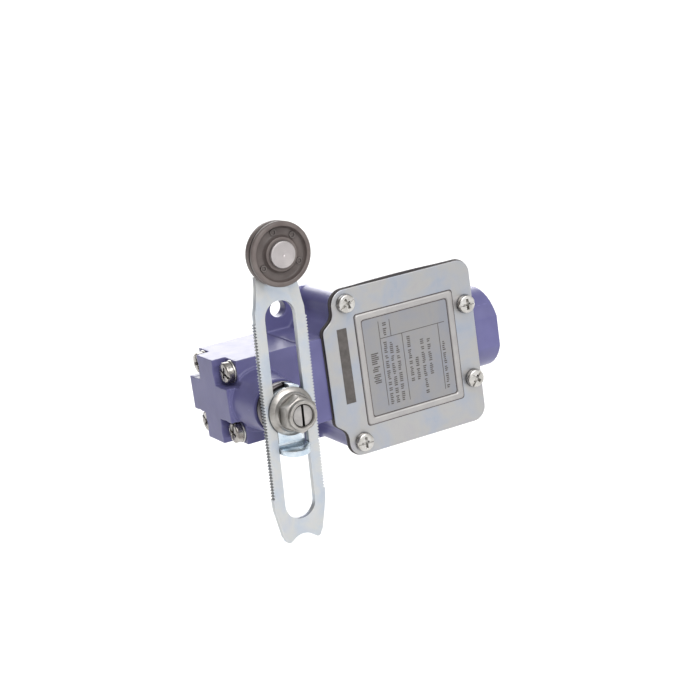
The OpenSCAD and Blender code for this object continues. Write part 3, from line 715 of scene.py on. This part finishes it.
def head():
    """Head casting: a square block with four screw pockets and the boss of the shaft."""
    body = box("head", (HEAD_X0, AXIS_Y - HEAD_HALF, -HEAD_HALF),
               (JOINT_X - HEAD_GASKET_T, AXIS_Y + HEAD_HALF, HEAD_HALF))
    inside, foot_front = -25.0, -26.2
    boss = [(0, RIM_Y), (SEAL_SEAT_R - 0.3, RIM_Y), (RIM_R, RIM_Y), (BOSS_R, inside), (0, inside)]
    foot = [(0, foot_front), (BOSS_FOOT_R - 0.1, foot_front), (BOSS_FOOT_R, foot_front + 0.1),
            (BOSS_FOOT_R, inside), (0, inside)]
    combine(body, lathe("boss", boss, (SHAFT_X, 0, 0), "Y", 96), "UNION")
    combine(body, lathe("foot", foot, (SHAFT_X, 0, 0), "Y", 96), "UNION")
    for sy in (1, -1):
        for sz in (1, -1):
            for cut in corner_pocket(sy, sz):
                combine(body, cut)
    seat = [(0, RIM_Y - 1), (SEAL_SEAT_R, RIM_Y - 1), (SEAL_SEAT_R, RIM_Y + 2), (0, RIM_Y + 2)]
    combine(body, lathe("recess", seat, (SHAFT_X, 0, 0), "Y", 64))
    cast(body, 0.17, 3)
    return finish_piece(body, "switch_body", ["head_casing"], ENAMEL)


# ---------------------------------------------------------------- cover, its screws and its print

def cover_gasket():
    """Rubber gasket, squeezed out a little beyond the edge of the cover and most of all along the top."""
    squeeze = 0.22
    gasket = prism("cover_gasket_detail", cover_outline(-squeeze), COVER_Y + COVER_T + 0.02, FLANGE_Y)
    combine(gasket, box("window", (10.0, COVER_Y, -16), (49.3, FLANGE_Y + 1, 16)))
    left, right, steps = 14, 48, 10
    bulge = [(right, HALF_W - 1), (left, HALF_W - 1)]
    for i in range(steps + 1):
        rise = 0.2 + 0.3 * math.sin(math.pi * i / steps)
        bulge.append((left + (right - left) * i / steps, HALF_W + rise))
    combine(gasket, prism("bulge", bulge, COVER_Y + COVER_T + 0.03, FLANGE_Y - 0.01), "UNION")
    smooth(bevel(gasket, 0.15, 2))
    finish_piece(gasket, "switch_body", ["cover_gasket"], RUBBER)


def square_ring(half, r, n=5):
    """Points of a square with round corners about the middle of the pressed frame."""
    right = arc(FRAME_X + half - r, half - r, r, 0, 90, n)
    left = arc(FRAME_X - half + r, half - r, r, 90, 180, n)
    return right + left + mirrored(right + left)


def pressed_ridge():
    """The square ridge as a strip over the cover, with the panel inside it.

    The section runs from the outside to the inside as (half side, rise towards the front). Its first
    and last but one steps are thin dark strips of painted shadow at the foot of the ridge.
    """
    section = [(17.62, 0.015), (17.40, 0.02), (17.36, 0.14), (17.26, 0.34), (17.06, 0.46), (16.75, 0.5),
               (15.95, 0.5), (15.62, 0.45), (15.42, 0.32), (15.32, 0.12), (15.28, 0.02), (15.06, 0.02)]
    bm = bmesh.new()
    rings = []
    for half, rise in section:
        corner_r = 1.0 if half > 16 else 0.8
        rings.append([bm.verts.new((x, COVER_Y - rise, z)) for x, z in square_ring(half, corner_r)])
    shadow_strips = (0, len(rings) - 2)
    for row, (a, b) in enumerate(zip(rings, rings[1:])):
        for i in range(len(a)):
            k = (i + 1) % len(a)
            wall = bm.faces.new([a[i], a[k], b[k], b[i]])
            wall.material_index = 3 if row in shadow_strips else 1
    panel = bm.faces.new(rings[-1])
    panel.material_index = 2
    return smooth(add_object("ridge", bm), 50)


def cover_plate():
    """Sheet cover with the pressed frame, in four materials: sheet, ridge, panel darker as painted shade,
    and dark edges that are partly painted shade.
    """
    plate = prism("cover", cover_outline(0.0), COVER_Y, COVER_Y + COVER_T)
    smooth(bevel(plate, 0.28, 3, 25), 30)
    ridge = pressed_ridge()
    # Side faces of the sheet take the dark edge material, partly painted shade.
    looks = [3 if abs(p.normal.y) < 0.3 else 0 for p in plate.data.polygons]
    looks += [p.material_index for p in ridge.data.polygons]
    whole = weld([plate, ridge], "cover_plate_detail")
    finish_piece(whole, "switch_body", ["cover_plate"], COVER)
    for look in (RIDGE, SHADED_PANEL, CUT_EDGE_AND_SHADOW):
        whole.data.materials.append(look)
    for p, look in zip(whole.data.polygons, looks):
        p.material_index = look


def recess(y, r, depth, angle):
    """Cutting shape for a slotted cross recess in a head that faces -Y."""
    slot = 0.46
    reach = r * 0.62
    bm = bmesh.new()
    add_box(bm, (-r * 1.2, y - 1, -slot), (r * 1.2, y + depth * 0.4, slot))
    tool = add_object("slot", bm)
    across = box("arm", (-slot * 1.05, y - 1, -reach), (slot * 1.05, y + depth, reach))
    combine(tool, across, "UNION")
    along = box("arm", (-reach * 0.75, y - 1, -slot * 0.7), (reach * 0.75, y + depth, slot * 0.7))
    combine(tool, along, "UNION")
    tool.data.transform(Matrix.Rotation(math.radians(angle), 4, "Y"))
    return tool


def pan_screw(name, r, height, y, angle, shank):
    """Pan head screw with its seat on the plane y, facing -Y."""
    profile = [(0, y - height), (r * 0.84, y - height), (r * 0.92, y - height * 0.97),
               (r * 0.98, y - height * 0.88), (r, y - height * 0.75), (r, y - 0.12), (r * 0.97, y), (0, y)]
    screw = lathe(name, profile, (0, 0, 0), "Y", 48)
    combine(screw, recess(y - height, r, height * 0.66, angle))
    bevel(screw, 0.07, 2, 40)
    stem = lathe("shank", [(0, y), (SHANK_R, y), (SHANK_R, y + shank), (0, y + shank)], (0, 0, 0), "Y", 24)
    return smooth(weld([screw, stem], name))


def cover_screws():
    """The four cover screws, with the flanks of their heads darker as painted shade."""
    made = []
    for (x, z), angle in COVER_SCREWS:
        screw = pan_screw("screw", COVER_SCREW_R, COVER_SCREW_H, COVER_Y, angle, 7.5)
        screw.data.transform(Matrix.Translation((x * MM, 0, z * MM)))
        made.append(screw)
    whole = weld(made, "cover_screws_detail")
    finish_piece(whole, "switch_body", ["cover_screws"], SCREW)
    whole.data.materials.append(DARK_SCREW)
    # Painted shade: the flanks of each head take the darker material.
    for p in whole.data.polygons:
        px, pz = p.center.x / MM, p.center.z / MM
        off = min(math.hypot(px - x, pz - z) for (x, z), angle in COVER_SCREWS)
        p.material_index = 1 if off > COVER_SCREW_R - 0.2 and abs(p.normal.y) < 0.6 else 0


def print_marks():
    """Plain ruled lines, a plain bar and rows of short strokes, which stand for no letters."""
    front, back = COVER_Y - 0.05, COVER_Y + 0.02
    stroke, step, gap = 0.34, 0.62, 0.55
    line_half = 0.09
    shelf_z = 8.2
    bm = bmesh.new()

    def mark(x0, z0, x1, z1):
        add_box(bm, (x0, front, z0), (x1, back, z1))

    # Ruled lines: x, lower and upper end; then one across them
    for x, low, high in ((21.5, -13.0, 13.6), (25.4, shelf_z, 13.5), (29.2, -13.1, shelf_z),
                         (42.2, -13.0, shelf_z)):
        mark(x - line_half, low, x + line_half, high)
    mark(21.5, shelf_z - line_half, 44.6, shelf_z + line_half)
    # Rows of strokes: x, lower and upper end, half height of a stroke
    for x, low, high, wide in ((18.9, -5.3, 5.0, 1.25), (23.5, 8.9, 13.0, 0.62), (23.0, -12.9, 5.4, 0.55),
                               (25.0, -12.9, 6.8, 0.55), (27.1, -12.7, 4.2, 0.55), (31.2, -7.6, 7.0, 0.55),
                               (33.4, -7.6, -1.0, 0.55), (35.8, -12.6, 5.4, 0.55), (38.2, -7.0, 4.6, 0.55),
                               (43.4, -12.8, 2.2, 0.5)):
        z = low
        while z < high:
            for i in range(random.randint(2, 6)):
                trim = random.choice((0, 0, 0, 0.35)) * wide
                mark(x - wide + trim, z, x + wide - random.choice((0, 0, 0.5)) * wide, z + stroke)
                z += step
            z += gap
    # Plain bar at the left end of the cover
    mark(7.2, -9.0, 10.5, 14.3)
    finish_piece(add_object("cover_print", bm), "switch_body", [], INK)


# ---------------------------------------------------------------- lever and its clamp

def lever_outline():
    """Right half of the lever from the fork at its foot to its round top, and the left half mirrored."""
    h, low = LEVER_HALF, LEVER_LOW
    neck_z = REACH - 6.1
    edge = [(6.3, low - 4.6), (6.95, low - 1.7), (7.5, low + 0.8), (h - 0.25, low + 3.6)]
    u = -25.0
    while u < 26.3:
        edge += [(h, u), (h - TOOTH_DEPTH, u + TOOTH_PITCH / 2)]
        u += TOOTH_PITCH
    edge += [(h - 0.6, 29.5), (h - 1.15, 31.9), (6.55, 36.5), (6.4, neck_z), (5.2, neck_z)]
    fork = arc(0, low - 9.4, 4.75, 128, 52, 12)
    prong = arc(4.65, low - 5.5, 1.1, -115, 0, 8)
    right = prong + edge + arc(0, REACH, 5.2, 0, 90, 14)
    return fork + right + [(-x, z) for x, z in reversed(right)][1:]


def stadium(r, top, bottom, n=16):
    """Outline of a slot with round ends, their centres at top and bottom."""
    return arc(0, top, r, 0, 180, n) + arc(0, bottom, r, 180, 360, n)


def lever():
    """Slotted lever with toothed edges."""
    arm = prism("arm", lever_outline(), LEVER_FRONT, LEVER_BACK)
    end = -LEVER_LOW - SLOT_R
    combine(arm, prism("slot", stadium(SLOT_R, end, -end, 24), LEVER_FRONT - 1, LEVER_BACK + 1))
    bevel(arm, 0.13, 2, 28)
    finish_piece(lean(smooth(arm)), "lever_arm", ["lever"], LEVER)


def roller_marks(web_front):
    """Four round moulding marks on the web of the roller: a ring about a sunken middle."""
    at_r = 6.4
    dot = [(0, web_front - 0.05), (0.34, web_front - 0.05), (0.38, web_front + 0.05),
           (0.62, web_front + 0.05), (0.66, web_front - 0.3), (0.90, web_front - 0.3),
           (1.0, web_front + 0.05), (0, web_front + 0.05)]
    made = []
    for angle in (103, 47, -27, 211):
        a = math.radians(angle)
        made.append(smooth(lathe("dot", dot, (at_r * math.cos(a), 0, at_r * math.sin(a)), "Y", 24), 38))
    return made


def roller():
    """Roller with a hub, a sunken web, a rim, and a groove in its tread."""
    r, front, back = ROLLER_R, ROLLER_FRONT, ROLLER_BACK
    web_front, web_back = front + 1.4, back - 0.8
    rear_r = r - 0.1
    groove_r = r - 1.1
    profile = [
        # front of the hub, then the web
        (2.5, front + 0.15), (2.6, front + 0.02), (4.55, front), (4.78, front + 0.12), (4.92, front + 0.5),
        (5.35, web_front - 0.15), (5.6, web_front), (7.15, web_front), (7.4, web_front - 0.12),
        # front of the rim
        (7.8, front + 0.5), (7.92, front + 0.12), (8.1, front), (8.7, front), (9.05, front + 0.14),
        (9.25, front + 0.4), (r, front + 0.7), (r, front + 1.3),
        # groove, then the rear tread
        (rear_r, front + 1.45), (groove_r + 0.15, front + 1.6), (groove_r, front + 1.8),
        (groove_r, front + 2.2), (groove_r + 0.15, front + 2.4), (9.05, front + 2.55),
        (rear_r, front + 2.75), (rear_r, back - 0.7), (9.1, back - 0.4), (8.7, back), (8.1, back),
        # back of the web and hub
        (7.8, back - 0.2), (7.7, web_back), (5.1, web_back), (4.95, back - 0.2), (4.75, back), (2.5, back),
    ]
    wheel = smooth(lathe("wheel", profile, (0, 0, 0), "Y", 128), 38)
    whole = weld([wheel] + roller_marks(web_front), "roller_detail")
    whole.data.transform(Matrix.Translation((0, 0, REACH * MM)))
    finish_piece(lean(whole), "roller", ["roller"], ROLLER)


def roller_pin():
    """Riveted pin with a flat head in front of the roller and a small head behind the lever."""
    y = ROLLER_FRONT
    head_r, back_r = 3.9, 3.4
    profile = [(0, y - 0.86), (0.35, y - 0.9), (0.5, y - 1.0), (3.3, y - 1.0), (3.75, y - 0.85),
               (head_r, y - 0.55), (head_r, y - 0.1), (PIN_R, y - 0.1), (PIN_R, LEVER_BACK),
               (3.3, LEVER_BACK), (back_r, LEVER_BACK + 0.5), (2.9, LEVER_BACK + 0.9), (0, LEVER_BACK + 0.9)]
    pin = smooth(lathe("roller_pin_detail", profile, (0, 0, REACH), "Y", 64), 30)
    finish_piece(lean(pin), "lever_arm", ["roller_pin"], PIN)


def flange_nut():
    """Lock nut: round flange with a cone, a hexagon with a chamfer, and a collar with a chamfered bore."""
    y, bore = LEVER_FRONT, NUT_BORE_R
    flange_r, cone_front = 7.06, y - 2.75
    hex_front, collar_r = y - 6.95, 4.4
    nut_front = y - 8.15
    flange = lathe("flange", [(bore, y), (6.85, y), (flange_r, y - 0.25), (flange_r, y - 0.75),
                              (6.75, y - 1.15), (5.9, y - 1.7), (5.45, cone_front), (bore, cone_front)],
                   (0, 0, 0), "Y", 96)
    corner = NUT_FLATS / math.sqrt(3)
    angles = [math.radians(30 + 60 * i) for i in range(6)]
    body = prism("hex", [(corner * math.cos(a), corner * math.sin(a)) for a in angles], hex_front, y - 2.2)
    chamfer = lathe("chamfer", [(0, hex_front), (4.55, hex_front), (5.65, hex_front + 0.85), (6.2, y - 2),
                                (0, y - 2)], (0, 0, 0), "Y", 96)
    combine(body, chamfer, "INTERSECT")
    drill = [(0, hex_front - 1), (bore, hex_front - 1), (bore, y), (0, y)]
    combine(body, lathe("bore", drill, (0, 0, 0), "Y", 64))
    bevel(body, 0.12, 2, 20)
    collar = lathe("collar", [(bore, hex_front + 0.3), (collar_r, hex_front + 0.3),
                              (collar_r, nut_front + 0.35), (4.28, nut_front + 0.08), (4.0, nut_front),
                              (3.62, nut_front), (3.38, nut_front + 0.25), (bore, nut_front + 0.9)],
                   (0, 0, 0), "Y", 96)
    whole = weld([smooth(flange), smooth(body), smooth(collar, 40)], "flange_nut_detail")
    finish_piece(lean(whole), "shaft_and_clamp", ["flange_nut"], NICKEL)


def tilt_lip(clamp):
    """Lets the lip of the clamp fall a little towards the front."""
    for v in clamp.data.vertices:
        ahead = LEVER_FRONT * MM - v.co.y
        if ahead > 0 and v.co.z < -9.5 * MM:
            v.co.z -= 0.22 * ahead


def detail_from_cad():
    """Pieces whose CAD shape is right and only needs broken edges: body, slot, look and edge width."""
    looks = {
        "lever_hub": ("shaft_and_clamp", "clamp_steel", SHADED_HUB, 0.18),
        "clamp_plate": ("shaft_and_clamp", "lever_steel", BLUE_ZINC, 0.3),
        "drive_shaft": ("shaft_and_clamp", "shaft_steel", TURNED, 0.2),
        "head_screw_washers": ("switch_body", "screw_steel", SCREW, 0.12),
        "head_gasket": ("switch_body", "seal_rubber", RUBBER, 0.1),
        "shaft_seal": ("switch_body", "seal_rubber", RUBBER, 0.12),
    }
    for name, (body, slot, look, width) in looks.items():
        piece = from_cad(name, width)
        if name == "clamp_plate":
            tilt_lip(piece)
        finish_piece(piece, body, [name], look)


# ---------------------------------------------------------------- springs and head screws

def springs():
    """The coil springs, copied from their CAD nodes. Each row also gives the joint, the fixed end along X,
    the length and how much shorter the spring gets as the rod goes in, none of which is used here.
    """
    for name, body, joint, fixed, length, shorter in (
            ("return_spring", "switch_body", "push_rod_travel", 1.7, 15.1, 3.4),
            ("overtravel_spring", "contact_plunger", "plunger_travel", 22.1, 6.7, 1.02),
            ("bridge_spring", "switch_body", "bridge_travel", 38.9, 9.3, 2.38)):
        coil = bpy.data.objects.new(name + "_detail", nodes[name].data.copy())
        bpy.context.scene.collection.objects.link(coil)
        finish_piece(smooth(coil), body, [name], SPRING)
        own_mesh(coil)


def head_screws():
    """The four screws in the pockets of the head, facing -X, each with the angle of its slot."""
    made = []
    seat = POCKET_X - 0.6
    turn = Matrix.Rotation(math.radians(-90), 4, "Z")
    for sy, sz, angle in ((-1, 1, 20), (1, 1, 75), (-1, -1, 110), (1, -1, 40)):
        screw = pan_screw("screw", HEAD_SCREW_R, 2.2, 0, angle, 30.4)
        place = Vector((seat, AXIS_Y + sy * HEAD_SCREW_AT, sz * HEAD_SCREW_AT)) * MM
        screw.data.transform(Matrix.Translation(place) @ turn)
        made.append(screw)
    finish_piece(weld(made, "head_screws_detail"), "switch_body", ["head_screws"], DARK_SCREW)


casting()
head()
cover_gasket()
cover_plate()
cover_screws()
print_marks()
lever()
roller()
roller_pin()
flange_nut()
head_screws()
springs()
detail_from_cad()


# ---------------------------------------------------------------- camera, light and floor

def aim_camera():
    """Camera at the fitted angle, looking at a point between the lever and the cover."""
    az, el, roll = math.radians(-27.32), math.radians(14.09), math.radians(-7.99)
    target, distance = Vector((13.08, -17.0, 8.3)), 557.03
    back = Vector((math.sin(az) * math.cos(el), -math.cos(az) * math.cos(el), math.sin(el)))
    level = (-back).cross(Vector((0, 0, 1))).normalized()
    upright = level.cross(-back)
    right = level * math.cos(roll) + upright * math.sin(roll)
    up = upright * math.cos(roll) - level * math.sin(roll)
    data = bpy.data.cameras.new("camera")
    data.sensor_width = 36
    data.lens = 96.45
    data.clip_start = 0.01
    data.clip_end = 20
    cam = bpy.data.objects.new("camera", data)
    bpy.context.scene.collection.objects.link(cam)
    turn = Matrix((right, up, back)).transposed().to_4x4()
    cam.matrix_world = Matrix.Translation((target + back * distance) * MM) @ turn
    bpy.context.scene.camera = cam


def paper_floor():
    """Wide sheet of white paper well below the switch."""
    half, drop = 6, -0.25
    floor = bpy.data.objects.new("floor", bpy.data.meshes.new("floor"))
    bm = bmesh.new()
    corners = [(-half, -half), (half, -half), (half, half), (-half, half)]
    bm.faces.new([bm.verts.new((x, y, drop)) for x, y in corners])
    bm.to_mesh(floor.data)
    bm.free()
    bpy.context.scene.collection.objects.link(floor)
    mat, nt, shader, coords = tree("floor_paper")
    tone = ramp(nt, noise(nt, coords, 3), [(0.3, (0.93, 0.93, 0.93)), (0.7, (0.96, 0.96, 0.96))])
    nt.links.new(tone, shader.inputs["Base Color"])
    shader.inputs["Roughness"].default_value = 0.9
    floor.data.materials.append(mat)


def towards(wt, coords, direction, low, high):
    """World brightness from low to high, by how far a direction points along the one given."""
    dot = wt.nodes.new("ShaderNodeVectorMath")
    dot.operation = "DOT_PRODUCT"
    dot.inputs[1].default_value = direction
    wt.links.new(coords.outputs["Generated"], dot.inputs[0])
    m = wt.nodes.new("ShaderNodeMapRange")
    m.inputs["From Min"].default_value = low[0]
    m.inputs["From Max"].default_value = high[0]
    m.inputs["To Min"].default_value = low[1]
    m.inputs["To Max"].default_value = high[1]
    wt.links.new(dot.outputs["Value"], m.inputs["Value"])
    return m.outputs["Result"]


def studio_world():
    """Grey room, brighter at the front, with a strong soft box low behind the switch."""
    world = bpy.data.worlds.new("studio")
    bpy.context.scene.world = world
    world.use_nodes = True
    wt = world.node_tree
    background = wt.nodes["Background"]
    background.inputs["Strength"].default_value = 0.74
    coords = wt.nodes.new("ShaderNodeTexCoord")
    room = towards(wt, coords, (0.35, -0.94, 0), (-1, 0.36), (1, 1.24))
    box_edge, box_core = math.cos(math.radians(32)), math.cos(math.radians(20))
    soft_box = towards(wt, coords, (0.445, 0.862, 0.243), (box_edge, 0), (box_core, 6.0))
    total = wt.nodes.new("ShaderNodeMath")
    wt.links.new(room, total.inputs[0])
    wt.links.new(soft_box, total.inputs[1])
    wt.links.new(total.outputs[0], background.inputs["Color"])


def key_light():
    """Soft key light from the front and above."""
    sun = bpy.data.lights.new("key", "SUN")
    sun.energy = 2.6
    sun.angle = math.radians(50)
    key = bpy.data.objects.new("key", sun)
    bpy.context.scene.collection.objects.link(key)
    key.rotation_mode = "QUATERNION"
    key.rotation_quaternion = Vector((-0.02, 0.72, -0.70)).to_track_quat("-Z", "Y")


aim_camera()
paper_floor()
studio_world()
key_light()
bpy.context.scene.view_settings.view_transform = "Standard"
